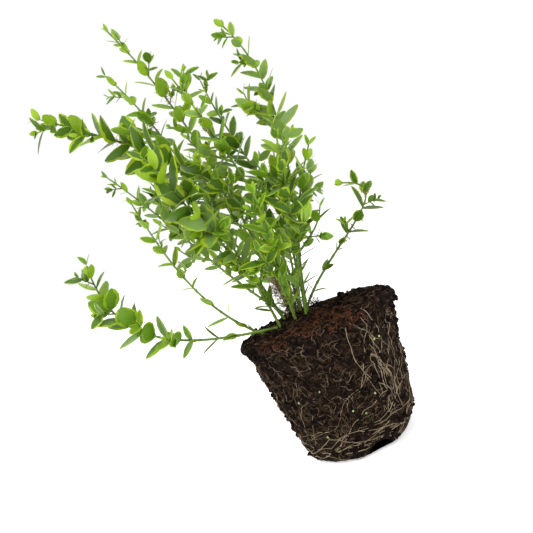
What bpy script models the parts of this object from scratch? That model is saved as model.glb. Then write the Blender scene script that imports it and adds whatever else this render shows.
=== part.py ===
"""A young gold-edged winter-creeper euonymus, out of its pot and standing on its own root ball.

Metres, +Z up. The origin is the middle of the root ball's flat underside. The plant is seen from
the front when looking along +Y. Each long shoot is a bare lower bough and a leafy upper mass, and
each mass keeps to the space that is nearer to its own twigs than to any other shoot's.
"""

import math
import random
from collections import namedtuple

import bmesh
import bpy
from mathutils import Matrix, Vector, noise
from mathutils.bvhtree import BVHTree
from mathutils.geometry import interpolate_bezier
from mathutils.kdtree import KDTree

MM = 0.001
GAP = 0.3 * MM
UP = Vector((0, 0, 1))

# Root ball: the soil keeps the shape of a 13 cm nursery pot
BALL_HEIGHT = 103 * MM
BALL_FOOT_RADIUS = 45 * MM
BALL_TOP_RADIUS = 59 * MM
BALL_LIP_RADIUS = 64 * MM
BALL_LIP_DEPTH = 9 * MM
BALL_EDGE_ROUND = 9 * MM
BALL_SEGMENTS = 36
BALL_TOP_RINGS = 6
BALL_SIDE_RINGS = 7
BALL_EDGE_RINGS = 4
LIP_FADE = 3
SOIL_ROUGHNESS = 1.6 * MM
SOIL_GRAIN = 55
MOUND_CENTRE = Vector((-14 * MM, 4 * MM))
MOUND_HEIGHT = 9 * MM
MOUND_SPREAD = 20 * MM
WORN_EDGE = 10 * MM
WORN_HEIGHT = 24 * MM
NOTCH_PLACE = Vector((8 * MM, -45 * MM, 0))
NOTCH_RADII = Vector((11 * MM, 9 * MM, 8 * MM))

# Woody base: the old cutting that the shoots crowd round
BASE_FOOT = (-14 * MM, 4 * MM)
BASE_RISE = Vector((-2 * MM, 1 * MM, 30 * MM))
BASE_RADII = (4.2 * MM, 2.6 * MM)
BASE_STEPS = 4

# Limbs: round boughs, and stems and twigs with three sides
BOUGH_RADII = (1.5 * MM, 1.1 * MM)
STEM_RADII = (1.5 * MM, 0.8 * MM)
TWIG_RADII = (1.2 * MM, 0.7 * MM)
LINE_STEP = 10 * MM
SKELETON_STEP = 2.5 * MM
FINE_STEPS = 120

# Side twigs: they leave a stem one golden angle on from each other, and are shorter higher up
TWIG_REACH = 42 * MM
TWIG_REACH_AT_TIP = 28 * MM
TWIG_SHORTENED = 2 * MM
TWIG_LEAN = math.radians(41)
TWIG_LIFT = 0.25
TWIG_STEPS = 12
TWIG_TRIES = 12
TWIG_TURN = math.radians(137.5)
TWIG_TURN_AGAIN = math.radians(47)
TWIG_START = 8 * MM
TWIG_ROOM = 6 * MM

# Leaves: pairs that cross, each a flat kite of eight faces with a fold and a falling tip
LEAF_THICKNESS = 0.045
LEAF_WIDEST = 0.45
LEAF_FOLD = 0.1
LEAF_DROOP = 0.1
LEAF_FULLNESS = 1.35
LEAF_SINK = 0.25 * MM
PAIR_STAGGER = 0.9 * MM
PAIR_TURN = math.radians(90)
LEAF_LEAN = math.radians(52)
LEAF_LEAN_AT_TIP = math.radians(30)
LEAF_ROLL = math.radians(38)
LEAF_LIGHTWARD = 0.5
LEAF_TRIES = 5
ROOT_OF_BLADE = 0.1
STEM_LEAVES_START = 5 * MM
TWIG_LEAVES_START = 9 * MM
TWIG_LEAF_SIZE = 0.85
LEAF_ROOM = 0.5 * MM
LIMB_ROOM = 2.2 * MM
SOIL_ROOM = 3 * MM

# Each shoot: its foot on the soil and its tip in millimetres, the way it leaves the soil and the
# way it arrives at its tip as (lean from upright, heading from +X) in degrees, the share of it
# that is bare, then its leaves' length in millimetres and breadth as a share of that, the
# millimetres between pairs, and the number of side twigs. The pull is how far each end's
# direction carries into the curve, as a share of the span.
Shoot = namedtuple(
    "Shoot",
    "name foot tip leave arrive bare leaf breadth pitch twigs pull",
    defaults=[(0.35, 0.35)],
)
SHOOTS = (
    Shoot("low_left", (-34, -8), (-140, -30, 204), (80, 180), (5, 0), 0.34, 19, 0.66, 10, 0, (0.42, 0.48)),
    Shoot("thin_left", (-44, 2), (-100, 15, 237), (48, 176), (12, 150), 0.4, 13, 0.5, 13, 0),
    Shoot("dark_left", (-21, 13), (-114, 40, 267), (38, 170), (36, 162), 0.26, 15, 0.42, 12, 2),
    Shoot("front_main", (-28, -8), (-54, -45, 222), (8, 215), (35, 215), 0.16, 21, 0.42, 12, 2, (0.3, 0.3)),
    Shoot("front_left", (-23, -3), (-66, -85, 250), (16, 215), (44, 255), 0.3, 26, 0.58, 12, 1),
    Shoot("far_left", (-15, -7), (-122, -60, 303), (22, 320), (57, 205), 0.36, 22, 0.62, 11, 0, (0.46, 0.33)),
    Shoot("tallest", (-17, 12), (-65, 10, 364), (3, 180), (24, 178), 0.26, 17, 0.54, 12, 2, (0.3, 0.33)),
    Shoot("upper_left", (-24, 6), (-82, 30, 340), (12, 165), (28, 166), 0.28, 16, 0.52, 12, 2, (0.3, 0.3)),
    Shoot("upper_middle", (-9, -3), (-32, -35, 302), (10, 320), (22, 220), 0.2, 18, 0.5, 12, 2),
    Shoot("upper_inner", (-9, 13), (-13, 45, 312), (26, 20), (12, 100), 0.24, 17, 0.5, 12, 2, (0.4, 0.35)),
    Shoot("upper_right", (-5, 4), (18, 5, 334), (14, 0), (26, 180), 0.2, 19, 0.54, 11, 2, (0.3, 0.34)),
    Shoot("right_edge", (-4, -4), (41, -25, 224), (14, 320), (38, 335), 0.2, 18, 0.46, 12, 2),
    Shoot("arching_right", (-2, 9), (58, 2, 190), (38, 0), (72, 182), 0.4, 15, 0.54, 12, 0, (0.44, 0.5)),
    Shoot("back_left", (-24, 15), (-86, 78, 234), (20, 140), (38, 140), 0.26, 19, 0.54, 12, 2),
    Shoot("back_middle", (-16, 20), (-44, 94, 262), (14, 110), (28, 110), 0.24, 19, 0.52, 12, 2),
    Shoot("back_right", (-7, 18), (24, 82, 240), (18, 60), (26, 60), 0.24, 19, 0.52, 12, 2),
    Shoot("low_back", (-13, 25), (-20, 112, 182), (58, 92), (14, 92), 0.34, 19, 0.58, 12, 0, (0.4, 0.4)),
    Shoot("front_inner", (-15, -12), (-10, -64, 205), (22, 270), (18, 268), 0.2, 20, 0.46, 12, 1),
    Shoot("front_right", (-6, -11), (20, -56, 244), (20, 300), (16, 290), 0.22, 19, 0.5, 12, 2),
)


def clear_scene():
    for obj in list(bpy.data.objects):
        bpy.data.objects.remove(obj)
    for old in list(bpy.data.collections):
        bpy.data.collections.remove(old)


def new_collection(name):
    collection = bpy.data.collections.new(name)
    bpy.context.scene.collection.children.link(collection)
    return collection


def material(name, colour, roughness):
    made = bpy.data.materials.new(name)
    made.use_nodes = True
    shader = made.node_tree.nodes["Principled BSDF"]
    shader.inputs["Base Color"].default_value = (*colour, 1)
    shader.inputs["Roughness"].default_value = roughness
    shader.inputs["Metallic"].default_value = 0
    return made


def add_object(name, data, collection, finish=None):
    obj = bpy.data.objects.new(name, data)
    collection.objects.link(obj)
    if finish:
        data.materials.clear()
        data.materials.append(finish)
    return obj


def evaluated_mesh(obj):
    graph = bpy.context.evaluated_depsgraph_get()
    graph.update()
    return bpy.data.meshes.new_from_object(obj.evaluated_get(graph))


def mesh_from(name, shape):
    """Turns an edited shape into a mesh, with its doubled points made one."""
    bmesh.ops.remove_doubles(shape, verts=shape.verts, dist=0.005 * MM)
    bmesh.ops.recalc_face_normals(shape, faces=shape.faces)
    mesh = bpy.data.meshes.new(name)
    shape.to_mesh(mesh)
    shape.free()
    return mesh


def welded(mesh):
    shape = bmesh.new()
    shape.from_mesh(mesh)
    return mesh_from(mesh.name, shape)


def tree_of_faces(mesh, place=None):
    """The mesh's faces, ready for ray and overlap tests, moved by a matrix if one is given."""
    place = place or Matrix()
    corners = [place @ vertex.co for vertex in mesh.vertices]
    return BVHTree.FromPolygons(corners, [tuple(face.vertices) for face in mesh.polygons])


# Root ball


def soil_top(x, y):
    """Height of the soil's upper face, which rises to a mound round the plant's foot."""
    away = (Vector((x, y)) - MOUND_CENTRE).length / MOUND_SPREAD
    return BALL_HEIGHT + MOUND_HEIGHT * math.exp(-away * away)


def ball_outline():
    """The turned outline, from the middle of the top down the side to the middle of the foot."""
    points = [(BALL_TOP_RADIUS * i / BALL_TOP_RINGS, BALL_HEIGHT) for i in range(BALL_TOP_RINGS)]
    points += [
        (BALL_LIP_RADIUS - 2 * MM, BALL_HEIGHT),
        (BALL_LIP_RADIUS, BALL_HEIGHT - BALL_LIP_DEPTH / 2),
        (BALL_TOP_RADIUS, BALL_HEIGHT - BALL_LIP_DEPTH),
    ]
    side_top = BALL_HEIGHT - BALL_LIP_DEPTH
    for i in range(1, BALL_SIDE_RINGS):
        share = i / BALL_SIDE_RINGS
        radius = BALL_TOP_RADIUS + (BALL_FOOT_RADIUS - BALL_TOP_RADIUS) * share
        points.append((radius, side_top + (BALL_EDGE_ROUND - side_top) * share))
    for i in range(BALL_EDGE_RINGS + 1):
        turn = math.radians(90) * i / BALL_EDGE_RINGS
        radius = BALL_FOOT_RADIUS - BALL_EDGE_ROUND * (1 - math.cos(turn))
        points.append((radius, BALL_EDGE_ROUND * (1 - math.sin(turn))))
    points.append((0, 0))
    return points


def roughen(mesh):
    """Raises the mound, breaks the lip at front and back, wears the right foot and adds lumps."""
    tiny = 0.01 * MM
    for vertex in mesh.vertices:
        x, y, z = vertex.co
        radius = math.hypot(x, y)
        if z < tiny:
            continue
        grain = noise.noise(vertex.co * SOIL_GRAIN) + 0.5 * noise.noise(vertex.co * SOIL_GRAIN * 3)
        if z > BALL_HEIGHT - tiny:
            vertex.co.z = soil_top(x, y) + SOIL_ROUGHNESS * grain * min(1, radius / (30 * MM))
        if radius < 1 * MM:
            continue
        moved = SOIL_ROUGHNESS * grain
        if radius > BALL_TOP_RADIUS + tiny:
            moved -= (radius - BALL_TOP_RADIUS) * (1 - abs(x / radius) ** LIP_FADE)
        to_the_right = max(0, x / radius) ** 3
        moved -= WORN_EDGE * to_the_right * max(0, 1 - z / WORN_HEIGHT) ** 2
        vertex.co.x = x * (1 + moved / radius)
        vertex.co.y = y * (1 + moved / radius)


def turned_soil(cutters):
    shape = bmesh.new()
    outline = [shape.verts.new((x, 0, z)) for x, z in ball_outline()]
    for above, below in zip(outline, outline[1:]):
        shape.edges.new((above, below))
    profile = bpy.data.meshes.new("ball_outline")
    shape.to_mesh(profile)
    shape.free()
    turned = add_object("turned_soil", profile, cutters)
    screw = turned.modifiers.new("turn", "SCREW")
    screw.steps = BALL_SEGMENTS
    screw.render_steps = BALL_SEGMENTS
    screw.use_merge_vertices = True
    screw.merge_threshold = 0.0001
    mesh = welded(evaluated_mesh(turned))
    bpy.data.objects.remove(turned)
    return mesh


def root_ball(parts, cutters, finish):
    """The soil and roots as one solid. It returns the surface that the shoots' feet stand on."""
    mesh = turned_soil(cutters)
    roughen(mesh)
    mesh.shade_smooth()
    ball = add_object("root_ball", mesh, parts, finish)

    shape = bmesh.new()
    bmesh.ops.create_uvsphere(shape, u_segments=10, v_segments=6, radius=1)
    cutter = add_object("notch_cutter", mesh_from("notch_cutter", shape), cutters)
    cutter.location = NOTCH_PLACE
    cutter.scale = NOTCH_RADII
    cutter.hide_render = True
    cutter.display_type = "WIRE"
    cut = ball.modifiers.new("notch", "BOOLEAN")
    cut.operation = "DIFFERENCE"
    cut.object = cutter
    return tree_of_faces(mesh)


def resting_height(soil, x, y, radius):
    """The lowest height at which a round foot of this radius clears the soil."""
    above = BALL_HEIGHT + 2 * MOUND_HEIGHT
    places = [(x, y)]
    for i in range(8):
        turn = math.tau * i / 8
        places.append((x + radius * math.cos(turn), y + radius * math.sin(turn)))
    hits = [soil.ray_cast(Vector((u, v, above)), -UP)[0].z for u, v in places]
    return max(hits) + GAP


# Lines that the limbs follow


class Line:
    """A run of points with the distance from its start to each of them."""

    def __init__(self, points):
        self.points = list(points)
        self.along = [0.0]
        for before, after in zip(self.points, self.points[1:]):
            self.along.append(self.along[-1] + (after - before).length)
        self.length = self.along[-1]

    def at(self, distance):
        """The point at a distance from the start, and the line's direction there."""
        i = 1
        while self.along[i] < distance and i < len(self.points) - 1:
            i += 1
        before, after = self.points[i - 1], self.points[i]
        share = (distance - self.along[i - 1]) / (self.along[i] - self.along[i - 1])
        return before.lerp(after, share), (after - before).normalized()

    def stretch(self, start, end, step):
        """The part between two distances, as a line of even steps."""
        count = max(1, round((end - start) / step))
        return Line(self.at(start + (end - start) * i / count)[0] for i in range(count + 1))


def direction(lean, heading):
    lean, heading = math.radians(lean), math.radians(heading)
    level = math.sin(lean)
    return Vector((level * math.cos(heading), level * math.sin(heading), math.cos(lean)))


def shoot_line(shoot, soil):
    """The smooth line of a shoot, from just above the soil to its tip."""
    x, y = (value * MM for value in shoot.foot)
    leave, arrive = direction(*shoot.leave), direction(*shoot.arrive)
    radius = BOUGH_RADII[0]
    lift = radius * math.sin(math.radians(shoot.leave[0]))
    foot = Vector((x, y, resting_height(soil, x, y, 2 * radius) + lift))
    tip = Vector(shoot.tip) * MM
    span = (tip - foot).length
    first, last = (pull * span for pull in shoot.pull)
    return Line(interpolate_bezier(foot, foot + leave * first, tip - arrive * last, tip, FINE_STEPS))


def split_shoot(shoot, soil):
    """The bare lower stretch of a shoot and its leafy upper stretch, a hair's breadth apart."""
    line = shoot_line(shoot, soil)
    bare_end = line.length * shoot.bare
    lower = line.stretch(0, bare_end - GAP / 2, LINE_STEP)
    upper = line.stretch(bare_end + GAP / 2, line.length, LINE_STEP)
    return lower, upper


def across(axis):
    """Two directions square to an axis, the first as level as it can be."""
    level = axis.cross(UP)
    if level.length < 0.1:
        level = Vector((1, 0, 0))
    first = (level - axis * level.dot(axis)).normalized()
    return first, axis.cross(first)


def three_sides():
    """The triangle that is drawn along a line to make a three-sided stem."""
    ring = bpy.data.curves.new("three_sides", "CURVE")
    spline = ring.splines.new("POLY")
    spline.points.add(2)
    for i, point in enumerate(spline.points):
        turn = math.tau * i / 3
        point.co = (math.cos(turn), math.sin(turn), 0, 1)
    spline.use_cyclic_u = True
    return ring


def limb_mesh(line, radii, section=None):
    """A tapering closed limb along a line, with six sides or with the section given."""
    curve = bpy.data.curves.new("limb", "CURVE")
    curve.dimensions = "3D"
    curve.use_fill_caps = True
    if section:
        curve.bevel_mode = "OBJECT"
        curve.bevel_object = section
    else:
        curve.bevel_depth = 1
        curve.bevel_resolution = 1
    spline = curve.splines.new("POLY")
    spline.points.add(len(line.points) - 1)
    for point, place, along in zip(spline.points, line.points, line.along):
        point.co = (*place, 1)
        point.radius = radii[0] + (radii[1] - radii[0]) * along / line.length
    obj = add_object("limb", curve, bpy.context.scene.collection)
    mesh = welded(evaluated_mesh(obj))
    bpy.data.objects.remove(obj)
    return mesh


# Spaces that the masses keep to


class Space:
    """Which shoot each point of a stem or twig belongs to, and where the bare limbs are."""

    def __init__(self):
        self.points = []
        self.owners = []
        self.limbs = []
        self.tree = None
        self.limb_tree = None

    def add(self, owner, line):
        points = line.stretch(0, line.length, SKELETON_STEP).points
        self.points += points
        self.owners += [owner] * len(points)
        self.tree = self.tree_of(self.points)

    def add_limb(self, line):
        self.limbs += line.stretch(0, line.length, SKELETON_STEP).points
        self.limb_tree = self.tree_of(self.limbs)

    @staticmethod
    def tree_of(points):
        tree = KDTree(len(points))
        for i, point in enumerate(points):
            tree.insert(point, i)
        tree.balance()
        return tree

    def holds(self, owner, point):
        """True if a leaf of this shoot may reach the point."""
        if self.limb_tree.find(point)[2] < LIMB_ROOM:
            return False
        x, y, z = point
        over_soil = math.hypot(x, y) < BALL_LIP_RADIUS + SOIL_ROOM
        if over_soil and z < soil_top(x, y) + SOIL_ROOM:
            return False
        return self.owners[self.tree.find(point)[1]] == owner

    def has_room(self, owner, point):
        """True if a twig of this shoot may run through the point."""
        near = self.tree.find_range(point, TWIG_ROOM)
        return self.holds(owner, point) and all(self.owners[i] == owner for _, i, _ in near)


def side_twigs(line, shoot, chance, space):
    """Lines of the twigs that leave a shoot, spread evenly up it and round it."""
    found = []
    turn = chance.uniform(0, math.tau)
    for number in range(shoot.twigs):
        share = (number + 0.35) / (shoot.twigs + 0.6)
        point, axis = line.at(TWIG_START + (line.length - TWIG_START) * share)
        first, second = across(axis)
        reach = TWIG_REACH + (TWIG_REACH_AT_TIP - TWIG_REACH) * share
        turn += TWIG_TURN
        for _ in range(TWIG_TRIES):
            out = first * math.cos(turn) + second * math.sin(turn)
            leave = axis * math.cos(TWIG_LEAN) + out * math.sin(TWIG_LEAN)
            tip = point + (leave + UP * TWIG_LIFT).normalized() * reach
            bend = (point + leave * reach * 0.4, tip - axis * reach * 0.3)
            points = interpolate_bezier(point, *bend, tip, TWIG_STEPS + 1)
            if all(space.has_room(shoot.name, place) for place in points[2:]):
                found.append(Line(points[::3]))
                break
            turn += TWIG_TURN_AGAIN
            reach -= TWIG_SHORTENED
    return found


# Leaves


def leaf_template():
    """A leaf one unit long and broad, from its root at the origin to its tip along +X."""
    shape = bmesh.new()
    bmesh.ops.create_uvsphere(shape, u_segments=4, v_segments=2, radius=0.5)
    bmesh.ops.rotate(shape, verts=shape.verts, matrix=Matrix.Rotation(math.radians(90), 3, "Y"))
    for vertex in shape.verts:
        x, y, z = vertex.co
        if x > 0.4:
            vertex.co = (1, 0, -LEAF_DROOP)
        elif x < -0.4:
            vertex.co = (0, 0, 0)
        else:
            vertex.co = (LEAF_WIDEST, y, LEAF_THICKNESS * z + LEAF_FOLD * abs(y))
    return mesh_from("leaf", shape)


def leaf_matrix(root, along, face, length, breadth):
    """Places the unit leaf with its root in the stem and its upper side to the face."""
    x_axis = along.normalized()
    y_axis = face.cross(x_axis).normalized()
    turn = Matrix((x_axis, y_axis, x_axis.cross(y_axis))).transposed().to_4x4()
    size = Matrix.Diagonal((length, length * breadth, length, 1))
    return Matrix.Translation(root - x_axis * LEAF_SINK) @ turn @ size


def leaf_fits(space, owner, matrix):
    """Tests the leaf's rim and middle, each a little further out than it is."""
    out = 1 + 2 * LEAF_ROOM / matrix.to_scale().x
    rim = [(out, 0, -LEAF_DROOP), (0.6, 0, LEAF_THICKNESS), (0.6, 0, -2 * LEAF_THICKNESS)]
    for along, half_breadth in ((0.35, 0.28), (LEAF_WIDEST, 0.5), (0.72, 0.26)):
        for side in (-1, 1):
            rim.append((along, side * half_breadth * out, LEAF_FOLD * half_breadth))
    return all(space.holds(owner, matrix @ Vector(point)) for point in rim)


def leaves_along(line, start, shoot, size, chance, fits):
    """The places of the leaf pairs from a distance along a line to its tip."""
    placed = []
    count = max(2, round((line.length - start) / (shoot.pitch * MM)))
    turn = chance.uniform(0, math.pi)
    for pair in range(count + 1):
        share = pair / count
        point, axis = line.at(start + (line.length - start) * share)
        first, second = across(axis)
        turn += PAIR_TURN + chance.uniform(-0.2, 0.2)
        lean = LEAF_LEAN + (LEAF_LEAN_AT_TIP - LEAF_LEAN) * share**3
        length = size * (0.8 + 0.4 * math.sin(math.pi * min(1, share * 1.1)) - 0.3 * share**4)
        for side in (0, 1):
            root = point + axis * PAIR_STAGGER * (2 * side - 1)
            for attempt in range(LEAF_TRIES):
                swing = turn + math.pi * side + attempt * chance.uniform(-0.5, 0.5)
                tilt = lean + chance.uniform(-0.15, 0.15) - 0.12 * attempt
                reach = length * chance.uniform(0.9, 1.1) * (1 - 0.1 * attempt)
                out = first * math.cos(swing) + second * math.sin(swing)
                along = axis * math.cos(tilt) + out * math.sin(tilt)
                face = axis * math.sin(tilt) - out * math.cos(tilt) + UP * LEAF_LIGHTWARD
                face.rotate(Matrix.Rotation(chance.uniform(-LEAF_ROLL, LEAF_ROLL), 3, along))
                matrix = leaf_matrix(root, along, face, reach, shoot.breadth * LEAF_FULLNESS)
                if fits(matrix):
                    placed.append(matrix)
                    break
    return placed


def leaf_pieces(shoot, stem, twigs, chance, space, template):
    """A shoot's leaves as meshes, none of them through another."""
    blade = Matrix.Translation((ROOT_OF_BLADE, 0, 0)) @ Matrix.Diagonal((1 - ROOT_OF_BLADE, 1, 1, 1))
    taken = []

    def fits(matrix):
        if not leaf_fits(space, shoot.name, matrix):
            return False
        here = tree_of_faces(template, matrix @ blade)
        if any(here.overlap(other) for other in taken):
            return False
        taken.append(here)
        return True

    size = shoot.leaf * MM
    places = leaves_along(stem, STEM_LEAVES_START, shoot, size, chance, fits)
    for twig in twigs:
        places += leaves_along(twig, TWIG_LEAVES_START, shoot, size * TWIG_LEAF_SIZE, chance, fits)
    pieces = []
    for place in places:
        leaf = template.copy()
        leaf.transform(place)
        pieces.append(leaf)
    return pieces


# Plant


def drop_scraps(mesh):
    """Keeps only the largest of the bodies that a mesh holds."""
    shape = bmesh.new()
    shape.from_mesh(mesh)
    left = set(shape.verts)
    bodies = []
    while left:
        body = {left.pop()}
        edge = list(body)
        while edge:
            near = {link.other_vert(vert) for vert in edge for link in vert.link_edges} - body
            body |= near
            edge = list(near)
        left -= body
        bodies.append(body)
    bodies.sort(key=len)
    scraps = [vert for body in bodies[:-1] for vert in body]
    bmesh.ops.delete(shape, geom=scraps, context="VERTS")
    shape.to_mesh(mesh)
    shape.free()


def join(name, stem, pieces, parts, finish):
    """One closed body of a stem with its twigs and leaves."""
    obj = add_object(name, stem, parts)
    loose = new_collection("loose_pieces")
    for piece in pieces:
        add_object("loose_piece", piece, loose)
    union = obj.modifiers.new("join", "BOOLEAN")
    union.operation = "UNION"
    union.operand_type = "COLLECTION"
    union.collection = loose
    joined = evaluated_mesh(obj)
    drop_scraps(joined)
    obj.modifiers.clear()
    obj.data = joined
    joined.materials.clear()
    joined.materials.append(finish)
    for piece in list(loose.objects):
        bpy.data.objects.remove(piece)
    bpy.data.collections.remove(loose)


def woody_base(soil, parts, finish):
    x, y = BASE_FOOT
    foot = Vector((x, y, resting_height(soil, x, y, 1.3 * BASE_RADII[0])))
    line = Line(foot + BASE_RISE * i / BASE_STEPS for i in range(BASE_STEPS + 1))
    base = add_object("woody_base", limb_mesh(line, BASE_RADII), parts, finish)
    base.data.shade_smooth()
    return line


def boughs(soil, parts, space, finish):
    """The bare lower limbs. It returns the line that each one's leafy stem goes on along."""
    stems = {}
    for shoot in SHOOTS:
        lower, upper = split_shoot(shoot, soil)
        bough = add_object(f"bough_{shoot.name}", limb_mesh(lower, BOUGH_RADII), parts, finish)
        bough.data.shade_smooth()
        space.add_limb(Line(lower.points[:-1]))
        space.add(shoot.name, upper)
        stems[shoot.name] = upper
    return stems


def foliage(stems, parts, space, finish):
    """The leafy masses. All twigs are laid out first, because they settle each mass's space."""
    twigs = {}
    for number, shoot in enumerate(SHOOTS):
        chance = random.Random(100 + number)
        twigs[shoot.name] = side_twigs(stems[shoot.name], shoot, chance, space)
        for twig in twigs[shoot.name]:
            space.add(shoot.name, twig)

    section = add_object("three_sides", three_sides(), bpy.context.scene.collection)
    template = leaf_template()
    for number, shoot in enumerate(SHOOTS):
        chance = random.Random(200 + number)
        stem = stems[shoot.name]
        pieces = leaf_pieces(shoot, stem, twigs[shoot.name], chance, space, template)
        pieces += [limb_mesh(twig, TWIG_RADII, section) for twig in twigs[shoot.name]]
        join(f"foliage_{shoot.name}", limb_mesh(stem, STEM_RADII, section), pieces, parts, finish)
    bpy.data.objects.remove(section)


def main():
    clear_scene()
    parts = new_collection("euonymus_on_root_ball")
    cutters = new_collection("cutters")
    earth = material("soil", (0.030, 0.018, 0.012), 0.95)
    bark = material("bark", (0.16, 0.10, 0.06), 0.85)
    green_bark = material("green_stem", (0.20, 0.36, 0.08), 0.55)
    leaf_green = material("leaf", (0.20, 0.38, 0.05), 0.45)

    soil = root_ball(parts, cutters, earth)
    space = Space()
    space.add_limb(woody_base(soil, parts, bark))
    stems = boughs(soil, parts, space, green_bark)
    foliage(stems, parts, space, leaf_green)


main()
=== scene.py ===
"""Looks of a young gold-edged euonymus on its root ball, grown on from its limbs."""

import math
import random
from collections import namedtuple

import bpy
import numpy as np
from mathutils import Matrix, Vector, noise
from mathutils.bvhtree import BVHTree
from mathutils.geometry import interpolate_bezier
from mathutils.kdtree import KDTree


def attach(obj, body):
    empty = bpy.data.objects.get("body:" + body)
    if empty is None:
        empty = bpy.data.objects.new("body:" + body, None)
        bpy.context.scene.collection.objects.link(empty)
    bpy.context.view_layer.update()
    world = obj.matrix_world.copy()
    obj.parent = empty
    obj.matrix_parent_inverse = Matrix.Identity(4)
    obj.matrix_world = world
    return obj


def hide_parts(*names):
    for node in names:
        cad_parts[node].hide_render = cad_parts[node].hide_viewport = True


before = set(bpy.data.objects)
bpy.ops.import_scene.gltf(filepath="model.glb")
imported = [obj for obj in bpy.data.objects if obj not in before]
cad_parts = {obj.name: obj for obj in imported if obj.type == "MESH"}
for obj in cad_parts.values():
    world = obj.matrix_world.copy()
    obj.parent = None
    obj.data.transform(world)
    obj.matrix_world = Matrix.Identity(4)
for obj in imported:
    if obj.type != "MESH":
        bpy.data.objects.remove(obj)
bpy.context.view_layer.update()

MM = 0.001
GAP = 0.3 * MM
UP = Vector((0, 0, 1))
TINY = 1e-6

# Root ball. A name that ends in _MM holds plain millimetres.
BALL_HEIGHT = 103 * MM
BALL_FOOT_RADIUS = 45 * MM
BALL_TOP_RADIUS = 59 * MM
BALL_LIP_RADIUS = 64 * MM
BALL_LIP_DEPTH = 9 * MM
BALL_LIP_INSET = 2 * MM
BALL_EDGE_ROUND = 9 * MM
BALL_EDGE_STEPS = 8
BALL_AXIS = 1 * MM
FLAT_TO = 0.01 * MM
LIP_FADE = 3
MOUND_CENTRE = Vector((-14 * MM, 4 * MM))
MOUND_HEIGHT = 9 * MM
MOUND_SPREAD = 20 * MM
WORN_EDGE = 10 * MM
WORN_HEIGHT = 24 * MM
WORN_SIDE_FADE = 3
WORN_HEIGHT_FADE = 2
NOTCH_PLACE = Vector((8 * MM, -45 * MM, 0))
NOTCH_RADII = Vector((11 * MM, 9 * MM, 8 * MM))
NOTCH_MIDDLE = 0.05
HOLLOW_DEPTH = 24 * MM
HOLLOW_MARGIN = 1.25

# Soil
SOIL_COLUMNS = 260
SOIL_ROWS = 170
SOIL_ROUGHNESS = 1.6 * MM
SOIL_GRAIN = 55
FINER_GRAIN = 3
FINER_GRAIN_SHARE = 0.5
CALM_RADIUS = 30 * MM
CRUMBLY_FROM = 0.5 * MM
TOP_BAND = 1 * MM
CRUMB_SIZE = 1.0 * MM
CRUMB_GRAIN = 320
FINER_CRUMB_GRAIN = 900
FINER_CRUMB_SHARE = 0.7

# Roots that creep over the soil: the length of a step, how much they curl, and their height
Creep = namedtuple("Creep", "step curl lift")
ROOT_SEED = 11
ROOT_SIDES = 3
ROOT_FLOOR = 0.7 * MM
SHORTEST_RUN = 3
LIFT_DRIFT_MM = (-0.1, 0.12)
LIFT_RANGE = (0.05 * MM, 1.2 * MM)

MAT_ROOTS = 2600
MAT_GREY_EVERY = 4
MAT_HEIGHTS_MM = (2, 102)
MAT_RADIUS_MM = 55
MAT_LENGTHS_MM = (5, 17)
MAT_THICKNESSES_MM = (0.1, 0.24)
MAT_CREEP = Creep(1.2 * MM, 0.9, 0.35 * MM)

CIRCLING_ROOTS = 80
CIRCLING_SIDES = 4
CIRCLING_HEIGHTS_MM = (3, 24)
CIRCLING_RADIUS_MM = 48
CIRCLING_SLOPES = (-0.15, 0.2)
CIRCLING_LENGTHS_MM = (35, 95)
CIRCLING_THICKNESSES_MM = (0.16, 0.3)
CIRCLING_CREEP = Creep(2 * MM, 0.22, 0.3 * MM)
RISING_EVERY = 5
RISING_ACROSS = (384, 404)
RISING_DOWN = (375, 425)
RISING_LEAN = 0.3

TOP_ROOTS = 260
TOP_ROOT_REACH = 58 * MM
TOP_ROOT_RISE = 4 * MM
TOP_ROOT_LENGTHS_MM = (8, 26)
TOP_ROOT_THICKNESS = 0.25 * MM
TOP_ROOT_CREEP = Creep(1.5 * MM, 0.8, 0.3 * MM)

# Feed beads, coir and crumbs; BEADS and CLUMPS are places in the picture
LITTER_SEED = 12
BEAD_SIDES = 8
BEAD_ROWS = 6
BEAD_SIZES_MM = (0.75, 1.05)
BEADS = (
    (379, 336), (374, 339), (371, 354), (375, 393), (353, 411),
    (366, 413), (320, 392), (328, 437), (299, 403),
)
COIR_FIBRES = 620
COIR_BAND_EVERY = 3
COIR_PATCH = ((333, 13), (314, 5))
COIR_BAND_START = (262, 347)
COIR_BAND_RUN = (60, -24)
COIR_BAND_SPREAD = 3
COIR_LENGTHS_MM = (3, 7)
COIR_THICKNESSES_MM = (0.15, 0.4)
COIR_CREEP = Creep(1 * MM, 0.9, 0.5 * MM)
CRUMBS = 900
CRUMBS_ON_TOP_EVERY = 3
CRUMB_HEIGHTS_MM = (4, 101)
CRUMB_RADIUS_MM = 60
CRUMB_TOP_REACH_MM = (10, 62)
CRUMB_TOP_RISE = 3 * MM
CRUMB_SIZES_MM = (0.7, 2.3)
CRUMB_SQUASH = (0.6, 1.2)
CRUMB_SEED_RANGE = (0, 50)
CRUMB_LUMPS = 0.55
CRUMB_LUMP_GRAIN = 1.7
CLUMPS = ((251, 353), (391, 301), (309, 303), (313, 304), (304, 305), (390, 304), (254, 356))
CLUMPED_EVERY = 9
CLUMP_SPREAD_MM = 3.2
STILL_TOUCHING = 0.6

# Old cutting in the middle of the shoots
BASE_FOOT = (-14 * MM, 4 * MM)
BASE_RISE = Vector((-2 * MM, 1 * MM, 30 * MM))
BASE_CLEARANCE = 1.3 * 4.2 * MM
BASE_LINE_STEPS = 4
BASE_STEP = 0.8 * MM
BASE_SIDES = 20
BASE_RADIUS_MM = 4.2
BASE_TAPER_MM = 1.6
BARK_RELIEF = 0.08
BARK_GRAIN = 400

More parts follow.
